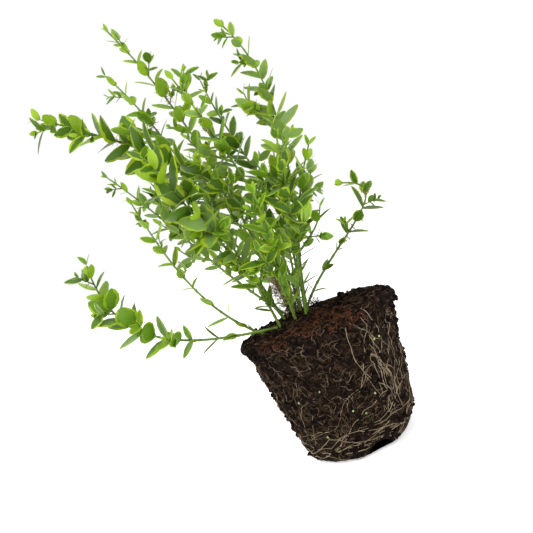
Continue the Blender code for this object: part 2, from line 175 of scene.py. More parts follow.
# Dry fibres that stray through the air: steps, how far each turns, its length and their thickness
Fibre = namedtuple("Fibre", "steps stray step_mm radius")
CLUMP_SEED = 13
BASE_ROOTLETS = 420
BASE_ROOTLET_REACH_MM = (2.5, 8)
BASE_ROOTLET = Fibre(8, 0.7, 1.1, 0.2 * MM)
TUFT_FIBRES = 150
TUFT_ACROSS = (298, 319)
TUFT_DOWN = 304
TUFT_SPREAD_MM = 1.5
TUFT_RISE = 0.8
TUFT_FIBRE = Fibre(7, 0.8, 1.2, 0.25 * MM)
AERIAL_SEED = 14
AERIAL_FIBRES = 16
AERIAL_SPREAD = 0.018
AERIAL_DROOP = Vector((0, -0.2, -0.5))
AERIAL_FIBRE = Fibre(6, 0.6, 1.1, 0.17 * MM)
# Where they stand on a stem: the shoot, and the share of the way up it
AERIAL_PLACES = (
    ("arching_right", 0.50), ("arching_right", 0.58), ("arching_right", 0.66),
    ("arching_right", 0.84), ("low_left", 0.62), ("upper_middle", 0.80),
    ("upper_left", 0.78), ("tallest", 0.74), ("far_left", 0.80),
)

# Stems
STEM_RADII = (1.5 * MM, 0.8 * MM)
STEM_THINNING = 0.72
STEM_SIDES = 8
NODE_SWELL = 0.3
NODE_SHARPNESS = 12
ROOTED = 4 * MM
FOOT_RAYS = 8
LINE_STEP = 10 * MM
FINE_LINE_STEP = 1.5 * MM
SKELETON_STEP = 2.5 * MM
FINE_STEPS = 120
NEARLY_UPRIGHT = 0.1

# Side twigs
TWIG_SEED = 100
TWIG_RADII = (1.0 * MM, 0.5 * MM)
TWIG_SIDES = 6
TWIG_REACH = 42 * MM
TWIG_REACH_AT_TIP = 28 * MM
TWIG_SHORTENED = 2 * MM
TWIG_LEAN = math.radians(41)
TWIG_LIFT = 0.25
TWIG_BEND = (0.4, 0.3)
TWIG_STEPS = 12
TWIG_TRIES = 12
TWIG_TURN = math.radians(137.5)
TWIG_TURN_AGAIN = math.radians(47)
TWIG_START = 8 * MM
TWIG_PLACING = (0.35, 0.6)
TWIG_ROOM = 6 * MM
TWIG_FREE_FROM = 2
TWIG_KEPT_EVERY = 3

# Sprigs: short side growths that carry small leaves
SPRIG_RADII = (0.6 * MM, 0.35 * MM)
SPRIG_SIDES = 5
SPRIG_POINTS = 5
SPRIG_LENGTH = (10 * MM, 17 * MM)
SPRIG_SPACING = 26 * MM
SPRIG_OFFSET = 0.6
SPRIG_FORWARD, SPRIG_OUTWARD = 0.7, 0.8
SPRIG_LEAVES_START = 5 * MM
SPRIG_LEAF_SIZE = 0.6

# Shape of a leaf one unit long
LEAF_STATIONS = (0.0, 0.1, 0.22, 0.36, 0.5, 0.64, 0.78, 0.9, 1.0)
LEAF_WIDEST = 0.45
LEAF_BELLY = 0.9
LEAF_FULLNESS = 0.62
LEAF_ENDS = (0.05, 0.04)
LEAF_WAVE = (0.98, 1.03)
LEAF_ROW = 5
HEART_STRIPS = (1, 2)
SPLASH = 0.1
SPLASH_BEAT = 2.1
HEART_NARROWS_AT = 0.7
HEART_AT_TIP = 0.8
FOLDS, DROOPS, CURLS, GREENS = (0.1, 0.4), (0.02, 0.16), (0, 0.35), (0.58, 0.86)

# Places where a leaf is tested for room
LEAF_TIP = (1.03, 0, -0.1)
LEAF_RIM = ((0.35, 0.4), (LEAF_WIDEST, 0.5), (0.72, 0.3))
LEAF_RIM_HEIGHT = 0.04
LOW_LEAF_TESTS = (0.6, 1.0)
LIMB_ROOM = 2.2 * MM
SOIL_ROOM = 3 * MM

# Growth of the leaves
LEAF_SEED = 200
PAIR_STAGGER = 0.5 * MM
PAIR_TURN = math.radians(90)
PAIR_WOBBLE = 0.2
PITCH_SHARE = 0.9
LEAF_LEAN = math.radians(52)
LEAF_LEAN_AT_TIP = math.radians(30)
LEAF_ROLL = math.radians(38)
LEAF_LIGHTWARD = 0.5
LEAF_BREADTH = 1.02
LEAF_LENGTHS = (0.85, 1.1)
LEAF_TILT = 0.15
LEAF_TRIES = 5
SWING_ON_RETRY = 0.5
TILT_ON_RETRY = 0.12
SHORTER_ON_RETRY = 0.1
LIME_FROM = 0.7
LIME_SHARE = 0.6
NEVER_LIME = 2
STEM_LEAVES_START = 5 * MM
TWIG_LEAVES_START = 6 * MM
TWIG_LEAF_SIZE = 0.85
LANCE_BREADTH = 0.27
LOW_START = 12 * MM

# The foot and the tip in millimetres; the lean and the heading in degrees on leaving and on
# arriving; the bare share; a leaf's length in millimetres, its breadth as a share of that, and
# the millimetres between pairs; the side twigs; how long the curve keeps to its ends' headings
Shoot = namedtuple(
    "Shoot",
    "name foot tip leave arrive bare leaf breadth pitch twigs pull",
    defaults=[(0.35, 0.35)],
)
SHOOTS = (
    Shoot("low_left", (-34, -8), (-140, -30, 204), (80, 180), (5, 0),
          0.34, 19, 0.66, 10, 0, (0.42, 0.48)),
    Shoot("thin_left", (-44, 2), (-100, 15, 237), (48, 176), (12, 150),
          0.4, 13, 0.5, 13, 0),
    Shoot("dark_left", (-21, 13), (-114, 40, 267), (38, 170), (36, 162),
          0.26, 15, 0.42, 12, 2),
    Shoot("front_main", (-28, -8), (-54, -45, 222), (8, 215), (35, 215),
          0.16, 21, 0.42, 12, 2, (0.3, 0.3)),
    Shoot("front_left", (-23, -3), (-66, -85, 250), (16, 215), (44, 255),
          0.3, 26, 0.58, 12, 1),
    Shoot("far_left", (-15, -7), (-122, -60, 303), (22, 320), (57, 205),
          0.36, 22, 0.62, 11, 0, (0.46, 0.33)),
    Shoot("tallest", (-17, 12), (-65, 10, 364), (3, 180), (24, 178),
          0.26, 17, 0.54, 12, 2, (0.3, 0.33)),
    Shoot("upper_left", (-24, 6), (-82, 30, 340), (12, 165), (28, 166),
          0.28, 16, 0.52, 12, 2, (0.3, 0.3)),
    Shoot("upper_middle", (-9, -3), (-32, -35, 302), (10, 320), (22, 220),
          0.2, 18, 0.5, 12, 2),
    Shoot("upper_inner", (-9, 13), (-13, 45, 312), (26, 20), (12, 100),
          0.24, 17, 0.5, 12, 2, (0.4, 0.35)),
    Shoot("upper_right", (-5, 4), (18, 5, 334), (14, 0), (26, 180),
          0.2, 19, 0.54, 11, 2, (0.3, 0.34)),
    Shoot("right_edge", (-4, -4), (41, -25, 224), (14, 320), (38, 335),
          0.2, 18, 0.46, 12, 2),
    Shoot("arching_right", (-2, 9), (58, 2, 190), (38, 0), (72, 182),
          0.4, 15, 0.54, 12, 0, (0.44, 0.5)),
    Shoot("back_left", (-24, 15), (-86, 78, 234), (20, 140), (38, 140),
          0.26, 19, 0.54, 12, 2),
    Shoot("back_middle", (-16, 20), (-44, 94, 262), (14, 110), (28, 110),
          0.24, 19, 0.52, 12, 2),
    Shoot("back_right", (-7, 18), (24, 82, 240), (18, 60), (26, 60),
          0.24, 19, 0.52, 12, 2),
    Shoot("low_back", (-13, 25), (-20, 112, 182), (58, 92), (14, 92),
          0.34, 19, 0.58, 12, 0, (0.4, 0.4)),
    Shoot("front_inner", (-15, -12), (-10, -64, 205), (22, 270), (18, 268),
          0.2, 20, 0.46, 12, 1),
    Shoot("front_right", (-6, -11), (20, -56, 244), (20, 300), (16, 290),
          0.22, 19, 0.5, 12, 2),
)
# Shoots with narrow leaves on their bare stretch: millimetres between pairs, share of leaf size
LOW_LEAVES = {
    "front_main": (11, 0.95), "thin_left": (17, 1.2), "low_left": (15, 0.8),
    "right_edge": (12, 0.9), "front_inner": (12, 0.9), "dark_left": (15, 0.9),
    "front_right": (13, 0.9), "arching_right": (20, 1.0), "front_left": (18, 0.7),
    "upper_middle": (14, 0.9),
}
FOLIAGE_NODES = [f"foliage_{shoot.name}" for shoot in SHOOTS]

# Finishes
DRY_SHEEN = 0.06
LEAF_SHEEN = 0.25
DRY_FROM = 0.7
NOISE_DETAIL = 4
BUMP_DETAIL = 6
NOISE_ROUGHNESS = 0.6
LEAF_ROUGHNESS = 0.42
HEARTS = (
    ("deep", (0.066, 0.148, 0.009)),
    ("mid", (0.110, 0.225, 0.012)),
    ("fresh", (0.185, 0.330, 0.022)),
    # The bluish heart tint is a painted sheen: the greyish-blue look of lit glossy leaves, given
    # as a base colour to whole sprays.
    ("painted_sheen", (0.165, 0.280, 0.058)),
)
EDGES = (
    ("gold", (0.285, 0.395, 0.013)),
    ("lime", (0.235, 0.385, 0.015)),
    ("pale", (0.330, 0.440, 0.030)),
)
LIME_EDGE = 1

# Mottled finishes: the places and colours of the mottling, and the scale and depth of the bumps
Finish = namedtuple("Finish", "roughness scale stops bump_scale bump_depth")
FINISHES = {
    "earth": Finish(0.95, 260, (
        (0.35, (0.002, 0.0012, 0.001)),
        (0.55, (0.010, 0.006, 0.004)),
        (0.72, (0.050, 0.028, 0.017)),
    ), 900, 0.0006),
    "loam": Finish(0.95, 300, (
        (0.35, (0.002, 0.0012, 0.001)),
        (0.6, (0.012, 0.007, 0.005)),
        (0.78, (0.055, 0.030, 0.018)),
    ), 1000, 0.0004),
    "tan_root": Finish(0.8, 180, (
        (0.35, (0.018, 0.010, 0.006)),
        (0.65, (0.120, 0.074, 0.042)),
    ), 1200, 0.0001),
    "grey_root": Finish(0.8, 180, (
        (0.35, (0.040, 0.027, 0.018)),
        (0.65, (0.270, 0.200, 0.135)),
    ), 1200, 0.0001),
    "pale_root": Finish(0.8, 180, (
        (0.3, (0.130, 0.095, 0.055)),
        (0.7, (0.400, 0.330, 0.220)),
    ), 1200, 0.0001),
    "bead": Finish(0.35, 300, (
        (0.3, (0.24, 0.40, 0.12)),
        (0.7, (0.42, 0.58, 0.25)),
    ), 600, 0.0001),
    "coir": Finish(0.9, 220, (
        (0.35, (0.022, 0.008, 0.005)),
        (0.65, (0.130, 0.048, 0.022)),
    ), 900, 0.0002),
    "green_stem": Finish(0.5, 90, (
        (0.25, (0.045, 0.075, 0.012)),
        (0.5, (0.125, 0.215, 0.028)),
        (0.75, (0.21, 0.33, 0.048)),
    ), 700, 0.0002),
    "dry_root": Finish(0.8, 200, (
        (0.3, (0.20, 0.13, 0.08)),
        (0.7, (0.42, 0.31, 0.20)),
    ), 900, 0.0001),
    "bark": Finish(0.85, 300, (
        (0.3, (0.05, 0.030, 0.018)),
        (0.6, (0.16, 0.10, 0.06)),
        (0.8, (0.26, 0.18, 0.11)),
    ), 600, 0.0006),
    "straw": Finish(0.8, 200, (
        (0.3, (0.28, 0.20, 0.12)),
        (0.7, (0.60, 0.48, 0.34)),
    ), 900, 0.0001),
    "black_fibre": Finish(0.9, 200, (
        (0.3, (0.008, 0.006, 0.005)),
        (0.7, (0.04, 0.03, 0.02)),
    ), 900, 0.0001),
}

# Camera: its place and turn come from the photographed outline of the ball
ELEVATION, ROLL, AWAY = math.radians(3.6), math.radians(22.2), 0.5
AIM = Vector((-0.0204, 0, 0.1525))
LENS, SENSOR, PICTURE = 43.85, 36, 533
CLIP_START = 0.01
FORWARD = Vector((0, math.cos(ELEVATION), -math.sin(ELEVATION)))
LEVEL, STEEP = Vector((1, 0, 0)), Vector((0, math.sin(ELEVATION), math.cos(ELEVATION)))
RIGHTWARD = math.cos(ROLL) * LEVEL - math.sin(ROLL) * STEEP
UPWARD = math.sin(ROLL) * LEVEL + math.cos(ROLL) * STEEP
EYE = AIM - AWAY * FORWARD

# Light and floor: each lamp's name, place, power and size
LAMPS = (
    ("key", (-0.5, -0.8, 0.9), 7, 0.5),
    ("fill", (0.8, -0.5, 0.5), 2, 0.8),
)
LIT_PLACE = Vector((0, 0, 0.15))
WHITE = (1, 1, 1, 1)
WORLD_STRENGTH = 1.0
FLOOR_SIZE = 30
FLOOR_PLACE = (0, 0, -0.0005)
FLOOR_COLOUR = (0.95, 0.95, 0.95)
FLOOR_ROUGHNESS = 0.9
FLOOR_GLOW = 0.5


# Materials


class Shader:
    """A material whose nodes are made one call at a time."""

    def __init__(self, name, roughness):
        self.material = bpy.data.materials.new(name)
        self.material.use_nodes = True
        self.tree = self.material.node_tree
        self.out = self.tree.nodes["Principled BSDF"]
        sheen = DRY_SHEEN if roughness > DRY_FROM else LEAF_SHEEN
        self.out.inputs["Roughness"].default_value = roughness
        self.out.inputs["Specular IOR Level"].default_value = sheen

    def node(self, kind, settings=None, **values):
        """Makes a node, sets its settings first, then links or sets its sockets."""
        made = self.tree.nodes.new(kind)
        for name, value in (settings or {}).items():
            setattr(made, name, value)
        for name, value in values.items():
            self.fill(made.inputs[name], value)
        return made

    def feed(self, name, value):
        """Links or sets a socket of the shader itself."""
        self.fill(self.out.inputs[name], value)

    def fill(self, socket, value):
        if isinstance(value, bpy.types.NodeSocket):
            self.tree.links.new(value, socket)
        else:
            socket.default_value = value

    def noise(self, scale, detail=NOISE_DETAIL):
        place = self.node("ShaderNodeTexCoord").outputs["Object"]
        made = self.node(
            "ShaderNodeTexNoise",
            Vector=place, Scale=scale, Detail=detail, Roughness=NOISE_ROUGHNESS,
        )
        return made.outputs["Fac"]

    def ramp(self, factor, stops):
        made = self.node("ShaderNodeValToRGB")
        ramp = made.color_ramp
        at_first = len(ramp.elements)
        for i, (place, colour) in enumerate(stops):
            stop = ramp.elements[i] if i < at_first else ramp.elements.new(place)
            stop.position = place
            stop.color = (*colour, 1)
        self.tree.links.new(factor, made.inputs[0])
        return made.outputs["Color"]

    def bump(self, height, distance):
        made = self.node("ShaderNodeBump", Strength=1.0, Distance=distance, Height=height)
        self.feed("Normal", made.outputs["Normal"])


def mottled(name):
    """A finish of the table, as a material."""
    finish = FINISHES[name]
    shader = Shader(name, finish.roughness)
    shader.feed("Base Color", shader.ramp(shader.noise(finish.scale), finish.stops))
    shader.bump(shader.noise(finish.bump_scale, BUMP_DETAIL), finish.bump_depth)
    return shader.material


def plain(name, colour, roughness):
    shader = Shader(name, roughness)
    shader.feed("Base Color", (*colour, 1))
    return shader.material


# Places drawn at random


def random_vector(chance, low, high):
    return Vector([chance.uniform(low, high) for _ in range(3)])


def scatter(chance, spread_mm):
    return Vector([chance.gauss(0, spread_mm) * MM for _ in range(3)])


def sideways(turn):
    return Vector((math.cos(turn), math.sin(turn), 0))


def above_ball(away, turn, rise):
    return Vector((away * math.cos(turn), away * math.sin(turn), BALL_HEIGHT + rise))


def tapered(radii, count):
    """Even steps from the first radius to the second."""
    first, last = radii
    return [first + (last - first) * i / (count - 1) for i in range(count)]


# Joined meshes


class Pile:
    """Points and faces of many small shapes, gathered to become one mesh."""

    def __init__(self):
        self.points = []
        self.faces = []
        self.count = 0

    def add(self, points, faces):
        self.points.append(np.asarray(points, float))
        self.faces.append(np.asarray(faces, int) + self.count)
        self.count += len(points)

    def tube(self, points, radii, sides):
        """A tube of quads, each end closed by triangles that meet in its middle."""
        points = [Vector(point) for point in points]
        side = (points[1] - points[0]).orthogonal().normalized()
        rings = []
        for i, point in enumerate(points):
            axis = points[min(i + 1, len(points) - 1)] - points[max(i - 1, 0)]
            axis.normalize()
            side = (side - axis * side.dot(axis)).normalized()
            other = axis.cross(side)
            for j in range(sides):
                turn = math.tau * j / sides
                rings.append(point + (side * math.cos(turn) + other * math.sin(turn)) * radii[i])
        last = len(points) - 1
        faces = []
        for i in range(last):
            for j in range(sides):
                k = (j + 1) % sides
                a, b = i * sides, (i + 1) * sides
                faces.append((a + j, a + k, b + k, b + j))
        for ring, order in ((0, -1), (last * sides, 1)):
            middle = len(rings)
            rings.append(sum((rings[ring + j] for j in range(sides)), Vector()) / sides)
            for j in range(sides):
                k = (j + order) % sides
                faces.append((ring + j, ring + k, middle, middle))
        self.add(rings, faces)

    def thread(self, run, radius, sides=ROOT_SIDES):
        """A tube of even thickness, left out where its run is too short."""
        if len(run) >= SHORTEST_RUN:
            self.tube(run, [radius] * len(run), sides)

    def fibre(self, start, heading, fibre, chance):
        """A thread that strays at random from its heading."""
        run = [start]
        for _ in range(fibre.steps):
            heading = (heading + random_vector(chance, -fibre.stray, fibre.stray)).normalized()
            run.append(run[-1] + heading * fibre.step_mm * MM)
        self.thread(run, fibre.radius)

    def piece(self, name, finish, slot, nodes=()):
        """One object of it all. A face that names its last point twice is a triangle."""
        points = np.concatenate(self.points)
        faces = np.concatenate(self.faces).tolist()
        quads = [tuple(face) if face[2] != face[3] else tuple(face[:3]) for face in faces]
        mesh = bpy.data.meshes.new(name)
        mesh.from_pydata(points.tolist(), [], quads)
        mesh.validate()
        mesh.shade_smooth()
        mesh.materials.append(finish)
        obj = bpy.data.objects.new(name, mesh)
        bpy.context.scene.collection.objects.link(obj)
        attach(obj, "root")
        if nodes:
            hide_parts(*nodes)
        return obj


# Root ball


def seen_at(surface, px, py):
    """Where the line of sight through a place in the picture meets the soil, or None."""
    sight = FORWARD * LENS / SENSOR * PICTURE
    sight = sight + RIGHTWARD * (px - PICTURE / 2) + UPWARD * (PICTURE / 2 - py)
    return surface.ray_cast(EYE, sight.normalized())[0]


def soil_top(x, y):
    """The height of the ball's top, with the mound that the shoots rise from."""
    away = (Vector((x, y)) - MOUND_CENTRE).length / MOUND_SPREAD
    return BALL_HEIGHT + MOUND_HEIGHT * math.exp(-away * away)


def ball_outline():
    """The turned outline, from the middle of the top to the middle of the foot."""
    points = [
        (0, BALL_HEIGHT),
        (BALL_LIP_RADIUS - BALL_LIP_INSET, BALL_HEIGHT),
        (BALL_LIP_RADIUS, BALL_HEIGHT - BALL_LIP_DEPTH / 2),
        (BALL_TOP_RADIUS, BALL_HEIGHT - BALL_LIP_DEPTH),
        (BALL_FOOT_RADIUS, BALL_EDGE_ROUND),
    ]
    for i in range(1, BALL_EDGE_STEPS + 1):
        turn = math.radians(90) * i / BALL_EDGE_STEPS
        radius = BALL_FOOT_RADIUS - BALL_EDGE_ROUND * (1 - math.cos(turn))
        points.append((radius, BALL_EDGE_ROUND * (1 - math.sin(turn))))
    points.append((0, 0))
    return points


def shaped(point):
    """Gives a point of the outline the large lumps, the lip, the mound and the worn right foot."""
    x, y, z = point
    radius = math.hypot(x, y)
    on_top = z > BALL_HEIGHT - FLAT_TO
    if z < FLAT_TO or radius < BALL_AXIS:
        return Vector((x, y, soil_top(x, y) if on_top else z))
    finer = noise.noise(point * SOIL_GRAIN * FINER_GRAIN)
    grain = noise.noise(point * SOIL_GRAIN) + FINER_GRAIN_SHARE * finer
    if on_top:
        z = soil_top(x, y) + SOIL_ROUGHNESS * grain * min(1, radius / CALM_RADIUS)
    moved = SOIL_ROUGHNESS * grain
    if radius > BALL_TOP_RADIUS:
        moved -= (radius - BALL_TOP_RADIUS) * (1 - abs(x / radius) ** LIP_FADE)
    to_the_right = max(0, x / radius) ** WORN_SIDE_FADE
    moved -= WORN_EDGE * to_the_right * max(0, 1 - z / WORN_HEIGHT) ** WORN_HEIGHT_FADE
    return Vector((x * (1 + moved / radius), y * (1 + moved / radius), z))


def in_notch(point):
    """The point's place in the hollow of the lower rim, whose wall is one unit away."""
    return Vector((point[i] - NOTCH_PLACE[i]) / NOTCH_RADII[i] for i in range(3))


def out_of_notch(point):
    """Draws a point that lies in the hollow back to the hollow's wall."""
    local = in_notch(point)
    if local.length >= 1 or local.length < NOTCH_MIDDLE:
        return point
    depth = math.sqrt(max(0, 1 - local.x**2 - local.z**2))
    return Vector((point.x, NOTCH_PLACE.y + depth * HOLLOW_DEPTH, point.z))


def near_notch(point):
    return in_notch(point).length < HOLLOW_MARGIN


def crumbled(point, height):
    """Roughens a point of the soil with crumbs."""
    finer = noise.noise(point * FINER_CRUMB_GRAIN)
    crumb = noise.noise(point * CRUMB_GRAIN) + FINER_CRUMB_SHARE * finer
    outward = Vector((point.x, point.y, 0)).normalized()
    if height > BALL_HEIGHT - TOP_BAND:
        outward = UP
    return point + outward * crumb * CRUMB_SIZE


def soil_points():
    """Rows of points round the ball, evenly spaced along its outline."""
    outline = ball_outline()
    along = [0.0]
    for (r0, z0), (r1, z1) in zip(outline, outline[1:]):
        along.append(along[-1] + math.hypot(r1 - r0, z1 - z0))
    points = []
    for row in range(SOIL_ROWS):
        distance = along[-1] * row / (SOIL_ROWS - 1)
        i = max(1, min(np.searchsorted(along, distance), len(along) - 1))
        share = (distance - along[i - 1]) / (along[i] - along[i - 1])
        radius = outline[i - 1][0] + (outline[i][0] - outline[i - 1][0]) * share
        height = outline[i - 1][1] + (outline[i][1] - outline[i - 1][1]) * share
        for column in range(SOIL_COLUMNS):
            turn = math.tau * column / SOIL_COLUMNS
            point = shaped(Vector((radius * math.cos(turn), radius * math.sin(turn), height)))
            if height > CRUMBLY_FROM:
                point = crumbled(point, height)
            points.append(out_of_notch(point))
    return points


def soil_piece():
    """The soil, and its surface for what lies on it."""
    points = soil_points()
    faces = []
    for row in range(SOIL_ROWS - 1):
        for column in range(SOIL_COLUMNS):
            near = (column + 1) % SOIL_COLUMNS
            a, b = row * SOIL_COLUMNS, (row + 1) * SOIL_COLUMNS
            faces.append((a + column, b + column, b + near, a + near))
    pile = Pile()
    pile.add(points, faces)
    obj = pile.piece("soil", mottled("earth"), "soil", ["root_ball"])
    obj.data.polygons.foreach_set("use_smooth", [False] * len(obj.data.polygons))
    return BVHTree.FromPolygons([Vector(p) for p in points], faces)


def wander(surface, start, heading, length, creep, chance):
    """A run of points that creeps over the soil and stops at the hollow."""
    points = []
    lift = creep.lift
    place, normal, _, _ = surface.find_nearest(start)
    for _ in range(max(SHORTEST_RUN, round(length / creep.step))):
        if near_notch(place):
            break
        spot = place + normal * lift
        spot.z = max(spot.z, ROOT_FLOOR)
        points.append(spot)
        heading = heading - normal * heading.dot(normal)
        if heading.length < TINY:
            break
        heading.normalize()
        heading = heading + heading.cross(normal) * chance.uniform(-creep.curl, creep.curl)
        place, normal, _, _ = surface.find_nearest(place + heading * creep.step)
        lift += chance.uniform(*LIFT_DRIFT_MM) * MM
        lift = min(max(lift, LIFT_RANGE[0]), LIFT_RANGE[1])
    return points


def root_mat(surface, tan, grey, chance):
    """The mat of fine roots all over the ball's side."""
    for number in range(MAT_ROOTS):
        turn = chance.uniform(0, math.tau)
        height = chance.uniform(*MAT_HEIGHTS_MM) * MM
        start = sideways(turn) * MAT_RADIUS_MM * MM + UP * height
        heading = random_vector(chance, -1, 1)
        length = chance.uniform(*MAT_LENGTHS_MM) * MM
        run = wander(surface, start, heading, length, MAT_CREEP, chance)
        thick = chance.uniform(*MAT_THICKNESSES_MM) * MM
        (tan if number % MAT_GREY_EVERY else grey).thread(run, thick)


def circling_roots(surface, pale, chance):
    """The long pale roots that circle low down, and those that rise on the right."""
    for number in range(CIRCLING_ROOTS):
        turn = chance.uniform(0, math.tau)
        height = chance.uniform(*CIRCLING_HEIGHTS_MM) * MM
        start = sideways(turn) * CIRCLING_RADIUS_MM * MM + UP * height
        heading = Vector((-math.sin(turn), math.cos(turn), chance.uniform(*CIRCLING_SLOPES)))
        px, py = chance.uniform(*RISING_ACROSS), chance.uniform(*RISING_DOWN)
        right_side = seen_at(surface, px, py)
        if number % RISING_EVERY == 0 and right_side:
            start = right_side
            heading = Vector((chance.uniform(-RISING_LEAN, RISING_LEAN), 0, 1))
        length = chance.uniform(*CIRCLING_LENGTHS_MM) * MM
        run = wander(surface, start, heading, length, CIRCLING_CREEP, chance)
        pale.thread(run, chance.uniform(*CIRCLING_THICKNESSES_MM) * MM, CIRCLING_SIDES)


def top_roots(surface, tan, chance):
    """The roots that lie on the ball's top."""
    for _ in range(TOP_ROOTS):
        turn = chance.uniform(0, math.tau)
        start = above_ball(TOP_ROOT_REACH * math.sqrt(chance.random()), turn, TOP_ROOT_RISE)
        heading = Vector((chance.uniform(-1, 1), chance.uniform(-1, 1), 0))
        length = chance.uniform(*TOP_ROOT_LENGTHS_MM) * MM
        tan.thread(wander(surface, start, heading, length, TOP_ROOT_CREEP, chance),
                   TOP_ROOT_THICKNESS)


def creeping_roots(surface):
    chance = random.Random(ROOT_SEED)
    mats = {"tan": Pile(), "grey": Pile(), "pale": Pile()}
    root_mat(surface, mats["tan"], mats["grey"], chance)
    circling_roots(surface, mats["pale"], chance)
    top_roots(surface, mats["tan"], chance)
    for name, pile in mats.items():
        pile.piece(f"{name}_roots", mottled(f"{name}_root"), "soil")


def unit_ball():
    """Points and faces of a ball one unit in radius about the middle."""
    points, faces = [], []
    for i in range(BEAD_ROWS + 1):
        slope = math.pi * i / BEAD_ROWS
        radius, height = math.sin(slope), math.cos(slope)
        for j in range(BEAD_SIDES):
            turn = math.tau * j / BEAD_SIDES
            points.append(Vector((radius * math.cos(turn), radius * math.sin(turn), height)))
    for i in range(BEAD_ROWS):
        a, b = i * BEAD_SIDES, (i + 1) * BEAD_SIDES
        for j in range(BEAD_SIDES):
            k = (j + 1) % BEAD_SIDES
            faces.append((a + j, b + j, b + k, a + k))
    return points, faces


def feed_beads(surface, chance):
    ball, faces = unit_ball()
    beads = Pile()
    for px, py in BEADS:
        hit = seen_at(surface, px, py)
        if hit:
            size = chance.uniform(*BEAD_SIZES_MM) * MM
            beads.add([hit + point * size for point in ball], faces)
    return beads


def coir_fibres(surface, chance):
    """The rust-coloured fibres: a patch below the rim, and a band that runs on from it."""
    coir = Pile()
    for number in range(COIR_FIBRES):
        if number % COIR_BAND_EVERY:
            px, py = chance.gauss(*COIR_PATCH[0]), chance.gauss(*COIR_PATCH[1])
        else:
            share = chance.random()
            px = COIR_BAND_START[0] + COIR_BAND_RUN[0] * share + chance.gauss(0, COIR_BAND_SPREAD)
            py = COIR_BAND_START[1] + COIR_BAND_RUN[1] * share + chance.gauss(0, COIR_BAND_SPREAD)
        hit = seen_at(surface, px, py)
        if hit:
            heading = random_vector(chance, -1, 1)
            length = chance.uniform(*COIR_LENGTHS_MM) * MM
            run = wander(surface, hit, heading, length, COIR_CREEP, chance)
            if len(run) >= SHORTEST_RUN:
                coir.thread(run, chance.uniform(*COIR_THICKNESSES_MM) * MM)
    return coir


def crumb_place(surface, number, chance):
    """Where a crumb starts from: on the side, on the top, or in a clump on the rim."""
    turn = chance.uniform(0, math.tau)
    if number % CRUMBS_ON_TOP_EVERY:
        height = chance.uniform(*CRUMB_HEIGHTS_MM) * MM
        start = sideways(turn) * CRUMB_RADIUS_MM * MM + UP * height
    else:
        start = above_ball(chance.uniform(*CRUMB_TOP_REACH_MM) * MM, turn, CRUMB_TOP_RISE)
    if number % CLUMPED_EVERY == 0:
        px, py = CLUMPS[number // CLUMPED_EVERY % len(CLUMPS)]
        start = seen_at(surface, px, py) or start
        start = start + scatter(chance, CLUMP_SPREAD_MM)
    return start


def soil_crumbs(surface, chance):
    ball, faces = unit_ball()
    crumbs = Pile()
    for number in range(CRUMBS):
        start = crumb_place(surface, number, chance)
        place = surface.find_nearest(start)[0]
        if near_notch(place):
            continue
        size = chance.uniform(*CRUMB_SIZES_MM) * MM
        standing_off = (start - place).length > size * STILL_TOUCHING
        if number % CLUMPED_EVERY == 0 and standing_off:
            place = place + (start - place).normalized() * size * STILL_TOUCHING
        squash = random_vector(chance, *CRUMB_SQUASH)
        seed = random_vector(chance, *CRUMB_SEED_RANGE)
        lump = []
        for point in ball:
            grown = 1 + CRUMB_LUMPS * noise.noise(point * CRUMB_LUMP_GRAIN + seed)
            spot = place + Vector(point[i] * squash[i] for i in range(3)) * size * grown
            spot.z = max(spot.z, ROOT_FLOOR)
            lump.append(spot)
        crumbs.add(lump, faces)
    return crumbs


def beads_and_coir(surface):
    chance = random.Random(LITTER_SEED)
    beads = feed_beads(surface, chance)
    coir = coir_fibres(surface, chance)
    beads.piece("feed_beads", mottled("bead"), "soil")
    crumbs = soil_crumbs(surface, chance)
    crumbs.piece("soil_crumbs", mottled("loam"), "soil")
    coir.piece("coir", mottled("coir"), "soil")


# Lines, spaces and side twigs, by the same rule as the solids; the leaves differ a little


class Line:
    """A run of points, with the distance along it to each."""

    def __init__(self, points):
        self.points = list(points)
        self.along = [0.0]
        for before, after in zip(self.points, self.points[1:]):
            self.along.append(self.along[-1] + (after - before).length)
        self.length = self.along[-1]

    def at(self, distance):
        """The place at a distance along the line, and the heading there."""
        i = 1
        while self.along[i] < distance and i < len(self.points) - 1:
            i += 1
        before, after = self.points[i - 1], self.points[i]
        share = (distance - self.along[i - 1]) / (self.along[i] - self.along[i - 1])
        return before.lerp(after, share), (after - before).normalized()

    def stretch(self, start, end, step):
        """A part of the line, in even steps of about the given length."""
        count = max(1, round((end - start) / step))
        return Line(self.at(start + (end - start) * i / count)[0] for i in range(count + 1))


def direction(lean, heading):
    """A heading that leans from upright, both in degrees."""
    lean, heading = math.radians(lean), math.radians(heading)
    level = math.sin(lean)
    return Vector((level * math.cos(heading), level * math.sin(heading), math.cos(lean)))


def resting_height(soil, x, y, radius):
    """The height at which a round foot just clears the solid ball."""
    above = BALL_HEIGHT + 2 * MOUND_HEIGHT
    places = [(x, y)]
    for i in range(FOOT_RAYS):
        turn = math.tau * i / FOOT_RAYS
        places.append((x + radius * math.cos(turn), y + radius * math.sin(turn)))
    hits = [soil.ray_cast(Vector((u, v, above)), -UP)[0].z for u, v in places]
    return max(hits) + GAP


def shoot_line(shoot, soil):
    """The smooth line of a shoot, from just above the soil to its tip."""
    x, y = (value * MM for value in shoot.foot)
    leave, arrive = direction(*shoot.leave), direction(*shoot.arrive)
    radius = STEM_RADII[0]
    lift = radius * math.sin(math.radians(shoot.leave[0]))
    foot = Vector((x, y, resting_height(soil, x, y, 2 * radius) + lift))
    tip = Vector(shoot.tip) * MM
    span = (tip - foot).length
    first, last = (pull * span for pull in shoot.pull)
    bend = (foot + leave * first, tip - arrive * last)
    return Line(interpolate_bezier(foot, *bend, tip, FINE_STEPS))


